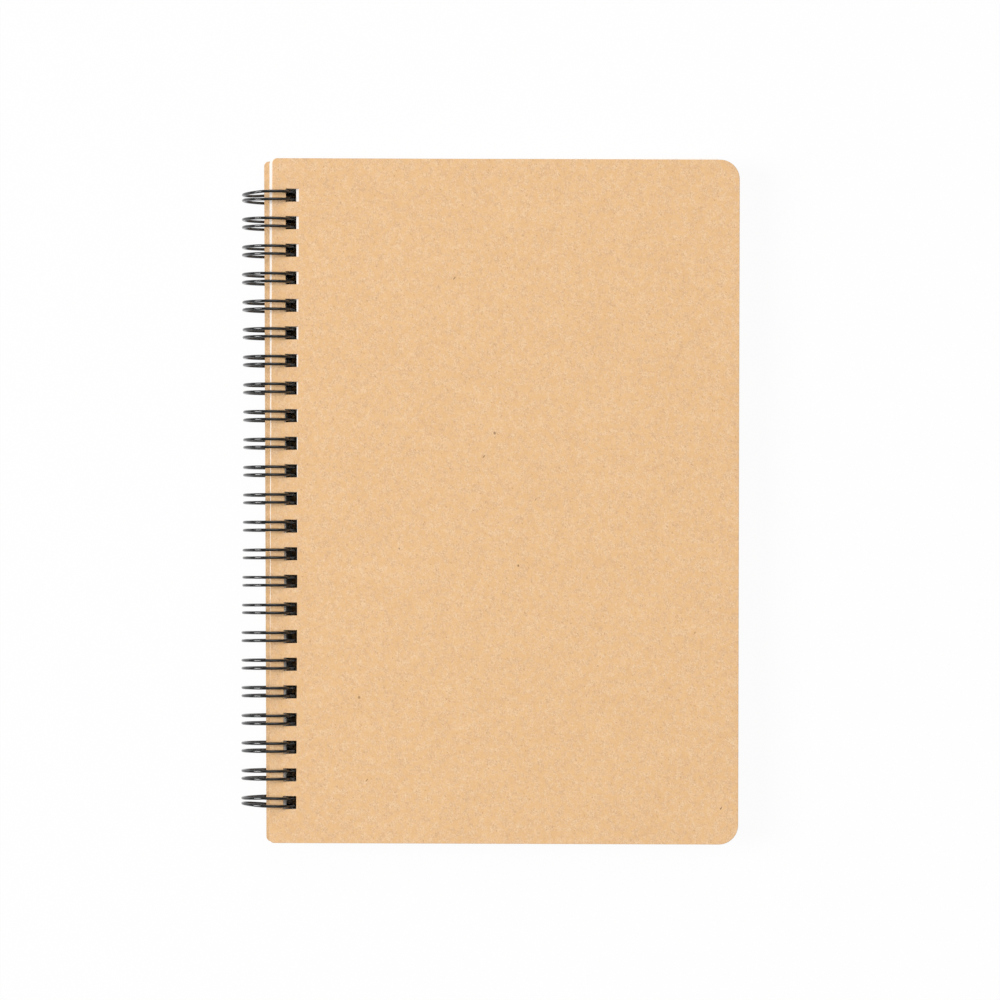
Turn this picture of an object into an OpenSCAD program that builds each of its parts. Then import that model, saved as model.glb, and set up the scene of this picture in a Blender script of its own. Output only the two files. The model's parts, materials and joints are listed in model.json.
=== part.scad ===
// Twin-loop wire-bound sketchbook, lying closed on its back cover.
// Z is up, Y runs up the page and X from the spine to the fore-edge.

/* [Book] */
// Height of both covers along the spine
cover_h = 210; // [190:1:240]
// Width of both covers from spine edge to fore-edge
cover_w = 143.5; // [120:0.5:180]
// Thickness of the cover board
board_t = 0.9; // [0.6:0.05:1.1]
// Radius of the covers' and sheets' two fore-edge corners
outer_r = 6; // [3:0.5:12]
// Radius of the two corners beside the spine
spine_r = 1.5; // [0.5:0.25:3]

/* [Sheets] */
// Number of loose drawing sheets
sheet_count = 40; // [30:1:40]
// Thickness of one sheet of heavy drawing paper
sheet_t = 0.235; // [0.15:0.005:0.24]
// How much narrower a sheet is than the covers
sheet_inset_w = 1.5; // [0:0.25:4]
// How much shorter a sheet is than the covers
sheet_inset_h = 0.6; // [0:0.1:3]

/* [Punching] */
// Number of punched holes and of wire loops
hole_count = 23; // [20:1:23]
// Distance between hole centres, three to the inch
hole_pitch = 8.467; // [8.2:0.001:8.6]
// Side of the square holes
hole_size = 4; // [3.8:0.05:4.2]
// Board or paper left between a leaf's spine edge and its holes
hole_margin = 4.2; // [3.9:0.05:4.4]
// How far the row of holes sits above the middle of the page
hole_shift = 0.5; // [-2:0.1:2]

/* [Wire] */
// Diameter of the coated wire
wire_d = 0.9; // [0.7:0.05:1]
// Radius of the closed loops, to the middle of the wire
loop_r = 7.95; // [7.85:0.05:8.2]
// Distance between the two strands of a loop
strand_gap = 2.4; // [2:0.1:2.5]
// Radius of the bends where the strands run on into the next loop
bend_r = 1.2; // [0.9:0.1:1.4]
// Direction of the seam, where the loop tips close, seen from the tail
seam_angle = -90; // [-95:1:-80]
// Gap between a loop tip and the bends that it closes against
seam_gap = 0.2; // [0.1:0.05:0.4]
// Length of the cut wire ends past the first and last loop
wire_end = 1; // [0.5:0.25:2]

/* [Lie of the leaves] */
// Height of the back cover above the table, lifted by the loops under it
back_lift = 1.9; // [1.7:0.05:2.1]
// Air between neighbouring leaves
leaf_gap = 0.01; // [0.005:0.005:0.02]
// Slip of the front cover towards the fore-edge, as a share of the slack of its holes
front_slip = 0.55; // [-0.6:0.05:0.6]
// Slip of the back cover towards the fore-edge, as a share of the slack of its holes
back_slip = -0.1; // [-0.2:0.05:0.2]
// Slip of a sheet at the loops' mid-height, as a share of the slack of its holes
sheet_slip = -0.4; // [-0.5:0.05:-0.1]
// Share of the loops' curve that the edges of the sheets follow
fan = 0.45; // [0.3:0.05:0.6]
// Turn of the front cover in the slack of its holes, in degrees
front_turn = -0.2; // [-0.25:0.05:0.2]
// Turn of the back cover in the slack of its holes, in degrees
back_turn = 0.25; // [-0.25:0.05:0.25]
// Turn of the top sheet in the slack of its holes, in degrees
sheet_turn = 0.2; // [-0.4:0.05:0.4]

/* [Hidden] */
function sheet_name(i) = str("sheet_", i < 9 ? "0" : "", i + 1);
sheets = [0 : sheet_count - 1];

$fn = 96;
wire_facets = 24;

// Closed loops: the distance between the ends of a strand leaves the seam gap between the
// tip's bend and the bends at the base. Its angle is rounded up to a tenth of a degree.
tip_r = strand_gap / 2;
bends_apart = tip_r + bend_r;
seam_length = sqrt(pow(bends_apart + wire_d + seam_gap, 2) - pow(bends_apart, 2));
seam_half_angle = ceil(10 * asin(seam_length / 2 / loop_r)) / 10;
bridge_length = hole_pitch - 2 * bends_apart;

// The loops stand on the straight wires that join them, which lie a little outside the loops.
loop_z = norm([loop_r, bend_r]) + wire_d / 2;

// The leaves lie on one another from the back cover up.
sheet_step = sheet_t + leaf_gap;
first_sheet_z = back_lift + board_t + leaf_gap;
front_cover_z = first_sheet_z + sheet_count * sheet_step;
sheet_w = cover_w - sheet_inset_w;
sheet_h = cover_h - sheet_inset_h;
hole_x = hole_margin + hole_size / 2;
hole_rows = [for (k = [0 : hole_count - 1]) ((hole_count - 1) / 2 - k) * hole_pitch];
cut = 1;

// Distance from the loops' middle to a circle round it, at height z
function reach(r, z) = sqrt(pow(r, 2) - pow(z - loop_z, 2));

// Spine edge of a cover: its holes lie round the part of the wire that passes through it.
function cover_edge(z, slip) =
    let (
        near = min(reach(loop_r - wire_d / 2, z), reach(loop_r - wire_d / 2, z + board_t)),
        far = max(reach(loop_r + wire_d / 2, z), reach(loop_r + wire_d / 2, z + board_t))
    )
    (near + far + slip * (hole_size - far + near)) / 2 - hole_x;
front_edge = cover_edge(front_cover_z, front_slip);
back_edge = cover_edge(back_lift, back_slip);

// Spine edge of a sheet: the sheets' holes follow part of the loops' curve.
function sheet_z(i) = first_sheet_z + i * sheet_step;
function sheet_edge(i) =
    loop_r - fan * (loop_r - reach(loop_r, sheet_z(i) + sheet_t / 2))
        + sheet_slip * (hole_size - wire_d) / 2 - hole_x;
function sheet_turn_at(i) = sheet_turn * i / (sheet_count - 1);

// The middle of the whole book's width stands at x = 0.
loop_x = -(cover_w + front_edge - loop_r - wire_d / 2) / 2;

// Flat outline of a leaf, from its spine edge at x = 0, with its hole row's middle at y = 0
module leaf_outline(w, h) {
    translate([0, -hole_shift]) {
        translate([spine_r, -h / 2]) square([w - spine_r - outer_r, h]);
        translate([0, spine_r - h / 2]) square([w - outer_r, h - 2 * spine_r]);
        translate([0, outer_r - h / 2]) square([w, h - 2 * outer_r]);
        for (side = [-1, 1]) {
            translate([spine_r, side * (h / 2 - spine_r)]) circle(spine_r);
            translate([w - outer_r, side * (h / 2 - outer_r)]) circle(outer_r);
        }
    }
}

// A punched leaf, turned about the middle of its hole row
module leaf(w, h, t, edge, turn, z) {
    translate([loop_x + edge + hole_x, hole_shift, z])
        rotate([0, 0, turn])
            translate([-hole_x, 0, 0])
                difference() {
                    linear_extrude(t) leaf_outline(w, h);
                    for (y = hole_rows)
                        translate([hole_margin, y - hole_size / 2, -cut])
                            cube([hole_size, hole_size, t + 2 * cut]);
                }
}

module back_cover() {
    color([0.76, 0.6, 0.42]) leaf(cover_w, cover_h, board_t, back_edge, back_turn, back_lift);
}

module front_cover() {
    color([0.88, 0.73, 0.55]) leaf(cover_w, cover_h, board_t, front_edge, front_turn, front_cover_z);
}

module sheet(i) {
    color([0.96, 0.96, 0.95])
        leaf(sheet_w, sheet_h, sheet_t, sheet_edge(i), sheet_turn_at(i), sheet_z(i));
}

// An arc of wire about Z
module wire_arc(r, start, sweep) {
    rotate([0, 0, start])
        rotate_extrude(angle = sweep)
            translate([r, 0]) circle(d = wire_d, $fn = wire_facets);
}

// Half a turn of one strand and a little more, from X round towards Z
module half_strand(y) {
    translate([0, y, 0]) rotate([90, 0, 0]) wire_arc(loop_r, 0, 180);
}

// A bend in the YZ plane, where the strands start on X
module bend(y, r, start, sweep) {
    translate([loop_r, y, 0]) rotate([90, 0, 90]) wire_arc(r, start, sweep);
}

// Straight wire that joins the bends at the base, from its upper end down
module base_wire(y, length) {
    translate([loop_r, y, -bend_r]) rotate([90, 0, 0]) cylinder(d = wire_d, h = length, $fn = wire_facets);
}

// Loops on the side of their tips: each tip joins its loop's two strands
module tip_side() {
    for (y = hole_rows) {
        half_strand(y - tip_r);
        half_strand(y + tip_r);
        bend(y, tip_r, 180, 180);
    }
}

// Loops on the side of their base: each strand bends outwards and runs on into the next loop
module base_side() {
    for (y = hole_rows) {
        last = y == min(hole_rows);
        half_strand(y - tip_r);
        half_strand(y + tip_r);
        bend(y - bends_apart, bend_r, 270, 90);
        bend(y + bends_apart, bend_r, 180, 90);
        base_wire(y - bends_apart, last ? wire_end : bridge_length);
        if (y == max(hole_rows)) base_wire(y + bends_apart + wire_end, wire_end);
    }
}

// The whole binding, one wire, modelled with its seam at the bottom and turned to the
// seam's place. On either side the strands start beside the seam, and they meet at the top.
module wire_binding() {
    color([0.08, 0.08, 0.08])
        translate([loop_x, hole_shift, loop_z]) rotate([0, -90 - seam_angle, 0]) {
            rotate([0, 90 - seam_half_angle, 0]) tip_side();
            mirror([1, 0, 0]) rotate([0, 90 - seam_half_angle, 0]) base_side();
        }
}

wire_binding();
back_cover();
front_cover();
for (i = sheets)
    sheet(i);
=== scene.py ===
import json
import math

import bpy
from mathutils import Euler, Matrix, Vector

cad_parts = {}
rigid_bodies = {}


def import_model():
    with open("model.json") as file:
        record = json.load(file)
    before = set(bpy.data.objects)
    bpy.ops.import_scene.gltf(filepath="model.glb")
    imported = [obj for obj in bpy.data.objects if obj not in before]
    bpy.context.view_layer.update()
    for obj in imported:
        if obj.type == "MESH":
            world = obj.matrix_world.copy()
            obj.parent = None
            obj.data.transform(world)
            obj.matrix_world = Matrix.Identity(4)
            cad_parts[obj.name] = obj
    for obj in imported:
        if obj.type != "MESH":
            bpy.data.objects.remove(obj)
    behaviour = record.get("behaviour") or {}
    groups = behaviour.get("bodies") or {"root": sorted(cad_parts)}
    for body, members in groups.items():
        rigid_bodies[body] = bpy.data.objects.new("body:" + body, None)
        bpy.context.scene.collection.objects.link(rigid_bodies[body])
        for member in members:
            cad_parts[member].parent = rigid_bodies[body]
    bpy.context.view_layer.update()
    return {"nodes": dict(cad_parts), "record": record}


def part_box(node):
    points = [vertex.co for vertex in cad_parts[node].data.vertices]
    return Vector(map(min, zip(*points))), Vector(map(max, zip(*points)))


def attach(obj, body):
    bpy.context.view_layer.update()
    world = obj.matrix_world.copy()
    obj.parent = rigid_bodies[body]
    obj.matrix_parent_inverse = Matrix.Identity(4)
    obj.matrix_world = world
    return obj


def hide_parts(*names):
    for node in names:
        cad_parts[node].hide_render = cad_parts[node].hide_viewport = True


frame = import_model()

millimetre = 0.001  # lengths below are in millimetres, unless a note says otherwise
render = bpy.context.scene


# Numbers from nodes, used in plain Python sums

class Value:
    def __init__(self, graph, socket):
        self.graph = graph
        self.socket = socket

    def maths(self, operation, *numbers):
        return self.graph.node("ShaderNodeMath", {"operation": operation}, dict(enumerate(numbers)))

    def output(self, name):
        return Value(self.graph, self.socket.node.outputs[name])

    def __add__(self, other): return self.maths("ADD", self, other)
    def __radd__(self, other): return self.maths("ADD", other, self)
    def __sub__(self, other): return self.maths("SUBTRACT", self, other)
    def __rsub__(self, other): return self.maths("SUBTRACT", other, self)
    def __mul__(self, other): return self.maths("MULTIPLY", self, other)
    def __rmul__(self, other): return self.maths("MULTIPLY", other, self)
    def __truediv__(self, other): return self.maths("DIVIDE", self, other)
    def __gt__(self, other): return self.maths("GREATER_THAN", self, other)
    def __lt__(self, other): return self.maths("LESS_THAN", self, other)
    def atMost(self, other): return self.maths("MINIMUM", self, other)
    def atLeast(self, other): return self.maths("MAXIMUM", self, other)
    def magnitude(self): return self.maths("ABSOLUTE", self)
    def floor(self): return self.maths("FLOOR", self)

    def ramp(self, low, high, start=0.0, end=1.0):  # start up to low, end past high, smooth between
        return self.graph.node("ShaderNodeMapRange", {"interpolation_type": "SMOOTHSTEP"},
                               {"Value": self, "From Min": low, "From Max": high,
                                "To Min": start, "To Max": end})


class Graph:
    def __init__(self, tree):
        self.tree = tree

    def node(self, kind, settings=None, inputs=None, output=0):
        made = self.tree.nodes.new(kind)
        for name, value in (settings or {}).items():
            setattr(made, name, value)
        for name, value in (inputs or {}).items():
            if isinstance(value, Value):
                self.tree.links.new(value.socket, made.inputs[name])
            else:
                made.inputs[name].default_value = value
        return Value(self, made.outputs[output]) if len(made.outputs) else made

    def vector(self, x, y, z):
        return self.node("ShaderNodeCombineXYZ", None, {"X": x, "Y": y, "Z": z})

    def xyz(self, vector):
        split = self.node("ShaderNodeSeparateXYZ", None, {"Vector": vector})
        return split, split.output("Y"), split.output("Z")


# Materials

def linear(red, green, blue):  # screen colour, 0 to 255, as the shader's linear colour
    channels = [channel / 255 for channel in (red, green, blue)]
    return [c / 12.92 if c <= 0.04045 else ((c + 0.055) / 1.055) ** 2.4 for c in channels] + [1]


class Finish(Graph):
    def __init__(self, name):
        self.material = bpy.data.materials.new(name)
        self.material.use_nodes = True
        super().__init__(self.material.node_tree)
        self.surface = self.tree.nodes["Principled BSDF"]
        self.place = self.node("ShaderNodeTexCoord").output("Object")

    def stretched(self, x, y, z, turn=0.0):  # place in units of x, y and z millimetres, turned about Z
        return self.node("ShaderNodeMapping", {"vector_type": "TEXTURE"},
                         {"Vector": self.place, "Rotation": (0, 0, math.radians(turn)),
                          "Scale": (x * millimetre, y * millimetre, z * millimetre)})

    def noise(self, x, y, z, turn=0.0, detail=2.0, roughness=0.5, warp=0.0):
        return self.node("ShaderNodeTexNoise", None,
                         {"Vector": self.stretched(x, y, z, turn), "Scale": 1.0, "Detail": detail,
                          "Roughness": roughness, "Distortion": warp})

    def flecks(self, x, y, z, turn, share, reach):  # 1 inside a fleck: share of the cells has one
        cells = self.node("ShaderNodeTexVoronoi", {"feature": "F1"},
                          {"Vector": self.stretched(x, y, z, turn), "Scale": 1.0, "Randomness": 1.0})
        draw = self.xyz(cells.output("Color"))
        flecked = draw[0] < share
        return cells.ramp(reach * 0.55, reach, 1, 0) * flecked * (0.35 + 0.65 * draw[1])

    def mix(self, factor, first, second, blend="MIX"):
        return self.node("ShaderNodeMix", {"data_type": "RGBA", "blend_type": blend},
                         {0: factor, 6: first, 7: second}, 2)

    def relief(self, height, depth):
        return self.node("ShaderNodeBump", None, {"Height": height, "Distance": depth, "Strength": 1.0})

    def sideways(self):  # 1 on cut edges, 0 on flat faces
        normal = self.node("ShaderNodeNewGeometry").output("Normal")
        return self.xyz(normal)[2].magnitude().ramp(0.35, 0.8, 1, 0)

    def apply(self, **looks):
        for name, look in looks.items():
            socket = self.surface.inputs[name.replace("_", " ")]
            if isinstance(look, Value):
                self.tree.links.new(look.socket, socket)
            else:
                socket.default_value = look
        return self.material


kraft = {
    "light cloud": linear(247, 210, 167),
    "dark cloud": linear(219, 177, 135),
    "warm cloud": linear(238, 192, 136),
    "bark fleck": linear(104, 70, 42),
    "faint fleck": linear(170, 116, 66),
    "pale fleck": linear(248, 224, 192),
    "cut edge": linear(214, 170, 122),
    "ply": 0.15,  # thickness of one ply of the board
    "back cover shade": 0.84,  # painted shade: the back cover's brightness beside the front cover's, darkened to stand for the shade it lies in beside the leaves
    "relief": 0.02,
}


def kraftBoard(name, shadeTone=1.0):
    board = Finish(name)
    cloud = board.noise(9, 7, 9, detail=1)
    mottle = board.noise(1.6, 1.9, 1.6, detail=2, roughness=0.6)
    grain = board.noise(0.42, 0.55, 0.42, detail=2, roughness=0.8)
    fibre = board.noise(0.2, 1.7, 0.4, turn=14, detail=1, warp=0.5)
    cross = board.noise(1.6, 0.2, 0.4, turn=-22, detail=1, warp=0.5)
    shade = 0.05 * cloud + 0.17 * mottle + 0.46 * grain + 0.16 * fibre + 0.16 * cross
    colour = board.mix(shade.ramp(0.39, 0.61), kraft["dark cloud"], kraft["light cloud"])
    warmth = board.noise(1.9, 2.2, 1.9, detail=3, roughness=0.75).ramp(0.36, 0.64, 0, 0.75)
    colour = board.mix(warmth, colour, kraft["warm cloud"])
    faint = board.flecks(0.5, 1.3, 0.8, turn=25, share=0.05, reach=0.35)
    faint = faint.atLeast(board.flecks(1.2, 0.5, 0.8, turn=-35, share=0.05, reach=0.35))
    bark = board.flecks(5, 6, 5, turn=10, share=0.03, reach=0.1)
    bark = bark.atLeast(board.flecks(9, 3, 5, turn=50, share=0.03, reach=0.08))
    pale = board.flecks(0.6, 1.5, 0.8, turn=-15, share=0.03, reach=0.35)
    colour = board.mix(pale * 0.5, colour, kraft["pale fleck"])
    colour = board.mix(faint * 0.45, colour, kraft["faint fleck"])
    colour = board.mix(bark, colour, kraft["bark fleck"])
    depth = board.xyz(board.place)[2]
    plies = (depth / (kraft["ply"] * millimetre) + 0.6 * grain).floor()
    layer = board.node("ShaderNodeTexWhiteNoise", {"noise_dimensions": "1D"}, {"W": plies})
    cut = board.mix(layer * 0.5, kraft["cut edge"], kraft["dark cloud"])
    side = board.sideways()
    colour = board.mix(side, colour, cut)
    # painted shade: the back cover's copy is darkened all over by this factor for the shade beside the
    # leaves; the front cover's stays at 1
    colour = board.mix(1.0, colour, (shadeTone, shadeTone, shadeTone, 1), "MULTIPLY")
    height = grain + 0.6 * fibre + 0.4 * cross + side * board.noise(0.08, 0.08, 0.5)
    return board.apply(Base_Color=colour, Roughness=0.78 + 0.14 * grain, Specular_IOR_Level=0.3,
                       Normal=board.relief(height, kraft["relief"] * millimetre))


drawing = {
    "page": linear(250, 250, 249),
    # painted shade: the two edge greys stand for the shade on the stack's cut edges
    "edge": linear(240, 240, 237),
    "deeper edge shade": linear(228, 228, 225),
    "sheet and its air": 0.245,
    "relief": 0.02,
}


def drawingPaper(name):
    paper = Finish(name)
    tooth = paper.noise(0.25, 0.25, 0.25, detail=3, roughness=0.65)
    cloud = paper.noise(12, 12, 12)
    sheet = (paper.xyz(paper.place)[2] / (drawing["sheet and its air"] * millimetre)).floor()
    shadeTone = paper.node("ShaderNodeTexWhiteNoise", {"noise_dimensions": "1D"}, {"W": sheet})
    # painted shade: cut edges are painted greyer than the page, each sheet's grey picked at random
    # between the two
    edge = paper.mix(shadeTone, drawing["edge"], drawing["deeper edge shade"])
    page = paper.mix(cloud.ramp(0.4, 0.65, 0, 0.1), drawing["page"], drawing["edge"])
    return paper.apply(Base_Color=paper.mix(paper.sideways(), page, edge),
                       Roughness=0.86 + 0.1 * tooth, Specular_IOR_Level=0.25,
                       Normal=paper.relief(tooth, drawing["relief"] * millimetre))


coating = {
    "colour": linear(9, 11, 13),
    "worn colour": linear(38, 39, 42),
    "roughness": 0.13,
    "relief": 0.015,
}


def coatedWire(name):
    wire = Finish(name)
    haze = wire.noise(1.2, 1.2, 1.2, detail=3)
    scuff = wire.noise(0.15, 0.6, 0.15, detail=2, roughness=0.7)
    worn = scuff.ramp(0.62, 0.78) * 0.5
    return wire.apply(Base_Color=wire.mix(worn, coating["colour"], coating["worn colour"]),
                      Roughness=coating["roughness"] + 0.1 * haze + 0.2 * worn,
                      Specular_IOR_Level=0.7, Coat_Weight=0.35, Coat_Roughness=0.06,
                      Normal=wire.relief(haze + 0.3 * scuff, coating["relief"] * millimetre))


print("materials")


# Geometry trees

kinds = {"number": "NodeSocketFloat", "length": "NodeSocketFloat", "angle": "NodeSocketFloat",
         "count": "NodeSocketInt", "finish": "NodeSocketMaterial"}


def chosen(values, kind, *names):  # inputs of one kind, from a piece's values
    unit = millimetre if kind == "length" else 1
    return {name: (kind, values[name] * unit) for name in names}


class Shape(Graph):
    def __init__(self, name, sizes):  # sizes: name to (kind, value)
        super().__init__(bpy.data.node_groups.new(name, "GeometryNodeTree"))
        self.sizes = sizes
        self.ids = {}
        for size, (kind, value) in sizes.items():
            made = self.tree.interface.new_socket(size, in_out="INPUT", socket_type=kinds[kind])
            self.ids[size] = made.identifier
        self.tree.interface.new_socket("Geometry", in_out="OUTPUT", socket_type="NodeSocketGeometry")
        self.inputs = self.tree.nodes.new("NodeGroupInput")

    def size(self, name):
        return Value(self, self.inputs.outputs[name])

    def end(self, geometry):  # plain mesh with the chosen finish
        solid = self.node("GeometryNodeRealizeInstances", None, {"Geometry": geometry})
        painted = self.node("GeometryNodeSetMaterial", None,
                            {"Geometry": solid, "Material": self.size("finish")})
        self.node("NodeGroupOutput", None, {"Geometry": painted})

    def join(self, *parts):
        joined = self.tree.nodes.new("GeometryNodeJoinGeometry")
        for part in parts:
            self.tree.links.new(part.socket, joined.inputs[0])
        return Value(self, joined.outputs[0])

    def make(self, name):
        host = bpy.data.objects.new(name, bpy.data.meshes.new(name))
        render.collection.objects.link(host)
        modifier = host.modifiers.new("shape", "NODES")
        modifier.node_group = self.tree
        for size, (kind, value) in self.sizes.items():
            modifier[self.ids[size]] = value
        seen = host.evaluated_get(bpy.context.evaluated_depsgraph_get())
        solid = bpy.data.meshes.new_from_object(seen)
        host.modifiers.remove(modifier)
        host.data = solid
        return host


# The twin-loop wire: a flat comb of bent wire, rolled up round the leaves

joints = frame["record"]["behaviour"]["joints"]
ringAxis = Vector(next(joint for joint in joints if joint["name"] == "wire_turn")["pos_m"])

wire = {
    "loops": 23,
    "pitch": 8.467,
    "loop radius": 7.95,
    "wire diameter": 0.9,
    "strand gap": 2.4,
    "base bend": 1.2,
    "half seam": 9.3,  # degrees from the seam's middle to the ends of the strands
    "cut end": 1.0,
    "row shift": 0.5,  # the row's middle, above the page's
    "sway": 0.07,  # random lean of a loop at the spine
    "end lean": 0.45,  # the first and the last loop lean inwards
    "pinch": 0.04,  # share by which a loop's strands may come closer or part at the spine
    "end pinch": 0.3,  # the first and the last loop's come closer
    "flattened": 0.42,  # the middle loops are pressed in at the spine
    "flattest loop": 9.5,  # counted from the head
    "flattened loops": 6.5,  # to either side of it
    "seed": 5,
    "bend points": 9,
    "path step": 0.45,
    "facets": 12,  # round the wire
}


def rolledWire():
    shape = Shape("twinLoopWire", {
        **chosen(wire, "count", "loops", "seed", "bend points", "facets"),
        **chosen(wire, "number", "pinch", "end pinch", "flattest loop", "flattened loops"),
        **chosen(wire, "length", "pitch", "loop radius", "strand gap", "base bend", "cut end",
                 "row shift", "sway", "end lean", "flattened", "path step"),
        "wire radius": ("length", wire["wire diameter"] / 2 * millimetre),
        "half seam": ("angle", math.radians(wire["half seam"])),
        "finish": ("finish", coatedWire("black_coated_wire"))})
    size = shape.size
    loops, pitch, radius = size("loops"), size("pitch"), size("loop radius")
    gap, bend, seam = size("strand gap"), size("base bend"), size("half seam")
    strand = radius * (2 * math.pi - 2 * seam)
    almostHalf = 0.4999  # of the gap, as a tip's two corners can't share a point

    # corners of the flat comb: four to a loop, and the two cut ends
    corners = shape.node("GeometryNodeMeshLine", {"mode": "OFFSET"}, {"Count": 4 * loops + 2})
    index = shape.node("GeometryNodeInputIndex")
    step = index - 1
    loop = (step / 4).floor().atLeast(0).atMost(loops - 1)
    corner = step - 4 * loop  # -1 at the first cut end, 4 at the last
    atTip = (corner > 0.5) * (corner < 2.5)
    side = 1 - 2 * (corner > 1.5)
    cut = (corner < -0.5) + (corner > 3.5)
    rowTop = (loops - 1) * pitch / 2
    along = rowTop - loop * pitch + side * (gap / 2 + cut * (bend + size("cut end")))
    out = atTip * (strand + gap / 2) - (1 - atTip) * bend
    comb = shape.node("GeometryNodeSetPosition", None,
                      {"Geometry": corners, "Position": shape.vector(out, along, 0)})
    comb = shape.node("GeometryNodeStoreNamedAttribute", {"data_type": "FLOAT", "domain": "POINT"},
                      {"Geometry": comb, "Name": "loop", "Value": loop})
    comb = shape.node("GeometryNodeStoreNamedAttribute", {"data_type": "FLOAT", "domain": "POINT"},
                      {"Geometry": comb, "Name": "round",
                       "Value": atTip * gap * almostHalf + (1 - atTip) * bend})
    path = shape.node("GeometryNodeMeshToCurve", None, {"Mesh": comb})
    rounding = shape.node("GeometryNodeInputNamedAttribute", {"data_type": "FLOAT"}, {"Name": "round"})
    path = shape.node("GeometryNodeFilletCurve", {"mode": "POLY"},
                      {"Curve": path, "Radius": rounding, "Limit Radius": True,
                       "Count": size("bend points")})
    path = shape.node("GeometryNodeResampleCurve", {"mode": "LENGTH"},
                      {"Curve": path, "Length": size("path step")})

    # roll it up: round the loops' curve, straight on past either end of a strand
    where = shape.xyz(shape.node("GeometryNodeInputPosition"))
    onCurve = where[0].atLeast(0).atMost(strand)
    past = where[0] - onCurve
    angle = seam + onCurve / radius  # from straight down, clockwise seen from the tail
    sine, cosine = angle.maths("SINE", angle), angle.maths("COSINE", angle)
    member = shape.node("GeometryNodeInputNamedAttribute", {"data_type": "FLOAT"}, {"Name": "loop"})
    member = (member + 0.5).floor()
    draw = lambda salt: shape.node("FunctionNodeRandomValue", {"data_type": "FLOAT"},
                                   {"ID": member, "Seed": size("seed") + salt, 2: -1.0, 3: 1.0}, 1)
    loose = (sine + 1) / 2  # nothing in the holes, all at the spine
    outer = (1.25 * sine - 0.25).atLeast(0)  # nothing at the seam and the top either
    atEnds = (member > loops - 1.5) - (member < 0.5)
    lean = loose * (draw(0) * size("sway") + atEnds * size("end lean"))
    apart = draw(1) * size("pinch") - atEnds.magnitude() * size("end pinch")
    apart = (where[1] - rowTop + member * pitch) * outer * apart
    offMiddle = (member - size("flattest loop")) / size("flattened loops")
    pressed = (1 - offMiddle * offMiddle).atLeast(0) * size("flattened") * outer
    x = -1 * (sine * (radius - pressed) + cosine * past)
    z = -1 * (cosine * radius) + sine * past
    y = where[1] + lean + apart + size("row shift")
    path = shape.node("GeometryNodeSetPosition", None,
                      {"Geometry": path, "Position": shape.vector(x + ringAxis.x, y, z + ringAxis.z)})
    section = shape.node("GeometryNodeCurvePrimitiveCircle", {"mode": "RADIUS"},
                         {"Resolution": size("facets"), "Radius": size("wire radius")})
    tube = shape.node("GeometryNodeCurveToMesh", None,
                      {"Curve": path, "Profile Curve": section, "Fill Caps": True})
    shape.end(tube)
    return shape.make("twin_loop_wire")


sharpEdge = 40  # degrees


def smoothed(piece, flat=2.0):  # faces that point more upwards or downwards than flat stay flat
    piece.data.set_sharp_from_angle(angle=math.radians(sharpEdge))
    for polygon in piece.data.polygons:
        polygon.use_smooth = abs(polygon.normal.z) < flat
    return piece


twinLoop = smoothed(rolledWire())
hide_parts("wire_binding")
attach(twinLoop, "wire_binding")
print("wire", len(twinLoop.data.polygons))


# Covers: punched kraft board with its rims pressed a little round

cover = {
    "height": 210.0,
    "width": 143.5,
    "board": 0.9,
    "fore-edge corner": 6.0,
    "spine corner": 1.5,
    "holes": 23,
    "pitch": 8.467,
    "hole": 4.0,
    "margin": 4.2,
    "hole shift": 0.5,
    "rim": 0.12,
    "rim segments": 2,
    "rim angle": 50,  # only edges sharper than this are rounded, in degrees
    "corner points": 20,
    "weld": 0.001,
    "front turn": -0.2,  # degrees, in the slack of the holes
    "back turn": 0.25,
}


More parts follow.
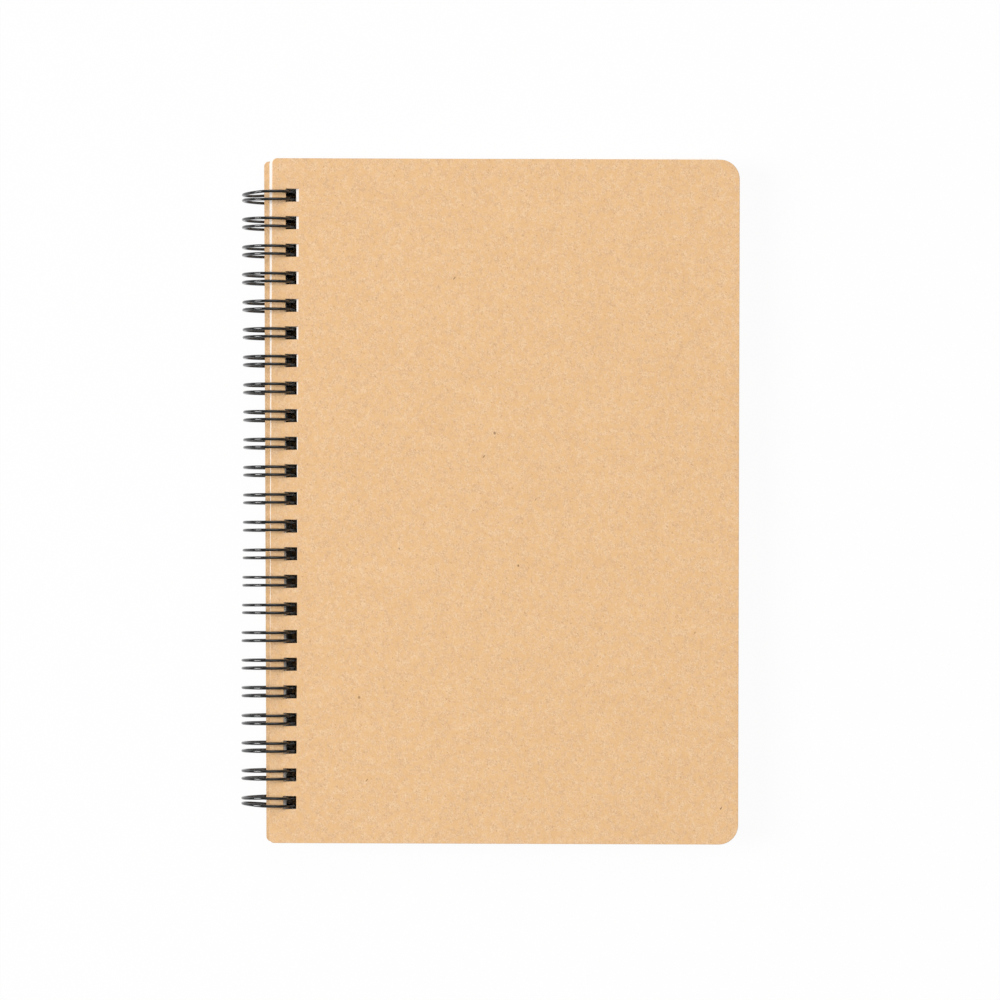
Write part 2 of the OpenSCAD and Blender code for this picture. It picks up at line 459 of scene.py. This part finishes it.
def punchedCover(name, node, turn, finish):
    low, high = (Vector(corner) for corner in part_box(node))
    middle = (low + high) / 2
    middle.z = low.z
    shape = Shape("punchedBoard", {
        **chosen(cover, "count", "holes", "corner points"),
        **chosen(cover, "length", "height", "width", "board", "fore-edge corner", "spine corner",
                 "pitch", "hole", "margin", "hole shift", "weld"),
        "finish": ("finish", finish)})
    size = shape.size
    outline = shape.node("GeometryNodeCurvePrimitiveQuadrilateral", {"mode": "RECTANGLE"},
                         {"Width": size("width"), "Height": size("height")})
    onSpine = shape.xyz(shape.node("GeometryNodeInputPosition"))[0] < 0
    corner = size("fore-edge corner") + onSpine * (size("spine corner") - size("fore-edge corner"))
    outline = shape.node("GeometryNodeFilletCurve", {"mode": "POLY"},
                         {"Curve": outline, "Radius": corner, "Limit Radius": True,
                          "Count": size("corner points")})
    rowX = size("margin") + size("hole") / 2 - size("width") / 2
    topY = (size("holes") - 1) * size("pitch") / 2 + size("hole shift")
    row = shape.node("GeometryNodeMeshLine", {"mode": "OFFSET"},
                     {"Count": size("holes"), "Start Location": shape.vector(rowX, topY, 0),
                      "Offset": shape.vector(0, -1 * size("pitch"), 0)})
    hole = shape.node("GeometryNodeCurvePrimitiveQuadrilateral", {"mode": "RECTANGLE"},
                      {"Width": size("hole"), "Height": size("hole")})
    holes = shape.node("GeometryNodeRealizeInstances", None, {"Geometry": shape.node(
        "GeometryNodeInstanceOnPoints", None, {"Points": row, "Instance": hole})})
    flat = shape.node("GeometryNodeFillCurve", {"mode": "NGONS"}, {"Curve": shape.join(outline, holes)})
    up = shape.node("GeometryNodeExtrudeMesh", {"mode": "FACES"},
                    {"Mesh": flat, "Offset": shape.vector(0, 0, 1), "Offset Scale": size("board"),
                     "Individual": False})
    under = shape.node("GeometryNodeFlipFaces", None, {"Mesh": flat})
    board = shape.node("GeometryNodeMergeByDistance", None,
                       {"Geometry": shape.join(up, under), "Distance": size("weld")})
    shape.end(board)
    board = shape.make(name)
    rim = board.modifiers.new("rim", "BEVEL")
    rim.width = cover["rim"] * millimetre
    rim.segments = cover["rim segments"]
    rim.limit_method = "ANGLE"
    rim.angle_limit = math.radians(cover["rim angle"])
    seen = board.evaluated_get(bpy.context.evaluated_depsgraph_get())
    rounded = bpy.data.meshes.new_from_object(seen)
    board.modifiers.remove(rim)
    board.data = rounded
    board.data.transform(Euler((0, 0, math.radians(turn))).to_matrix().to_4x4())
    for vertex in board.data.vertices:
        vertex.co += middle
    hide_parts(node)
    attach(board, node)
    return smoothed(board, flat=0.99)


frontCover = punchedCover("front_board", "front_cover", cover["front turn"], kraftBoard("kraft_front"))
punchedCover("back_board", "back_cover", cover["back turn"], kraftBoard("kraft_back", kraft["back cover shade"]))
print("covers", len(frontCover.data.polygons))


# Sheets keep their solids

paper = drawingPaper("drawing_paper")
for name, node in frame["nodes"].items():
    if name.startswith("sheet_"):
        node.data.materials.clear()
        node.data.materials.append(paper)
print("sheets")


# Table, lamps and camera

studio = {
    "camera height": 1400.0,  # above the front cover
    "camera place": (3.12, -26.84),
    "tilt": 1.1,  # degrees, towards the head
    "view width": 306.49,  # of the picture at the front cover
    "sensor": 36.0,
    "table": 3.0,  # half the side of the table, in m
    "inset": 0.8,  # the table under the book glows no nearer to its edge than this
    "glow": 0.95,  # how much of the table's white comes of itself, away from the book
    "world": 0.2,
}


def paleTable():
    reach = studio["table"]
    mesh = bpy.data.meshes.new("table")
    mesh.from_pydata([(-reach, -reach, 0), (reach, -reach, 0), (reach, reach, 0), (-reach, reach, 0)],
                     [], [(0, 1, 2, 3)])
    table = bpy.data.objects.new("table", mesh)
    render.collection.objects.link(table)
    finish = Finish("pale_table")
    finish.apply(Base_Color=(0.86, 0.86, 0.86, 1), Roughness=0.9)
    path = finish.node("ShaderNodeLightPath")
    seen = path.atLeast(path.output("Is Glossy Ray")).atLeast(path.output("Is Transmission Ray"))
    low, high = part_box("back_cover")
    x, y = finish.xyz(finish.place)[:2]
    inset = studio["inset"] * millimetre
    under = (x > low[0] + inset) * (x < high[0] - inset) * (y > low[1] + inset) * (y < high[1] - inset)
    glow = finish.node("ShaderNodeEmission", None, {"Color": (1, 1, 1, 1), "Strength": 1.0})
    both = finish.tree.nodes.new("ShaderNodeMixShader")
    finish.tree.links.new((seen * (1 - under) * studio["glow"]).socket, both.inputs[0])
    finish.tree.links.new(finish.surface.outputs[0], both.inputs[1])
    finish.tree.links.new(glow.socket, both.inputs[2])
    finish.tree.links.new(both.outputs[0], finish.tree.nodes["Material Output"].inputs["Surface"])
    mesh.materials.append(finish.material)


def softbox(name, at, width, length, watts):  # in m, the length along the spine
    light = bpy.data.lights.new(name, "AREA")
    light.shape = "RECTANGLE"
    light.size = width
    light.size_y = length
    light.energy = watts
    made = bpy.data.objects.new(name, light)
    made.location = at
    made.rotation_euler = Vector(at).to_track_quat("Z", "Y").to_euler()
    render.collection.objects.link(made)


paleTable()
softbox("window_light", at=(-3.6, 0.15, 3.4), width=1.8, length=2.4, watts=218)
softbox("fill_light", at=(0.9, 1.8, 2.6), width=3.2, length=3.2, watts=37)
world = bpy.data.worlds.new("studio")
world.use_nodes = True
world.node_tree.nodes["Background"].inputs["Color"].default_value = (1, 1, 1, 1)
world.node_tree.nodes["Background"].inputs["Strength"].default_value = studio["world"]
render.world = world

lens = bpy.data.cameras.new("camera")
lens.sensor_width = studio["sensor"]
lens.lens = lens.sensor_width * studio["camera height"] / studio["view width"]
camera = bpy.data.objects.new("camera", lens)
across, along = (place * millimetre for place in studio["camera place"])
camera.location = (across, along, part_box("front_cover")[1][2] + studio["camera height"] * millimetre)
camera.rotation_euler = (math.radians(studio["tilt"]), 0, 0)
render.collection.objects.link(camera)
render.camera = camera
render.view_settings.view_transform = "Standard"
print("studio")
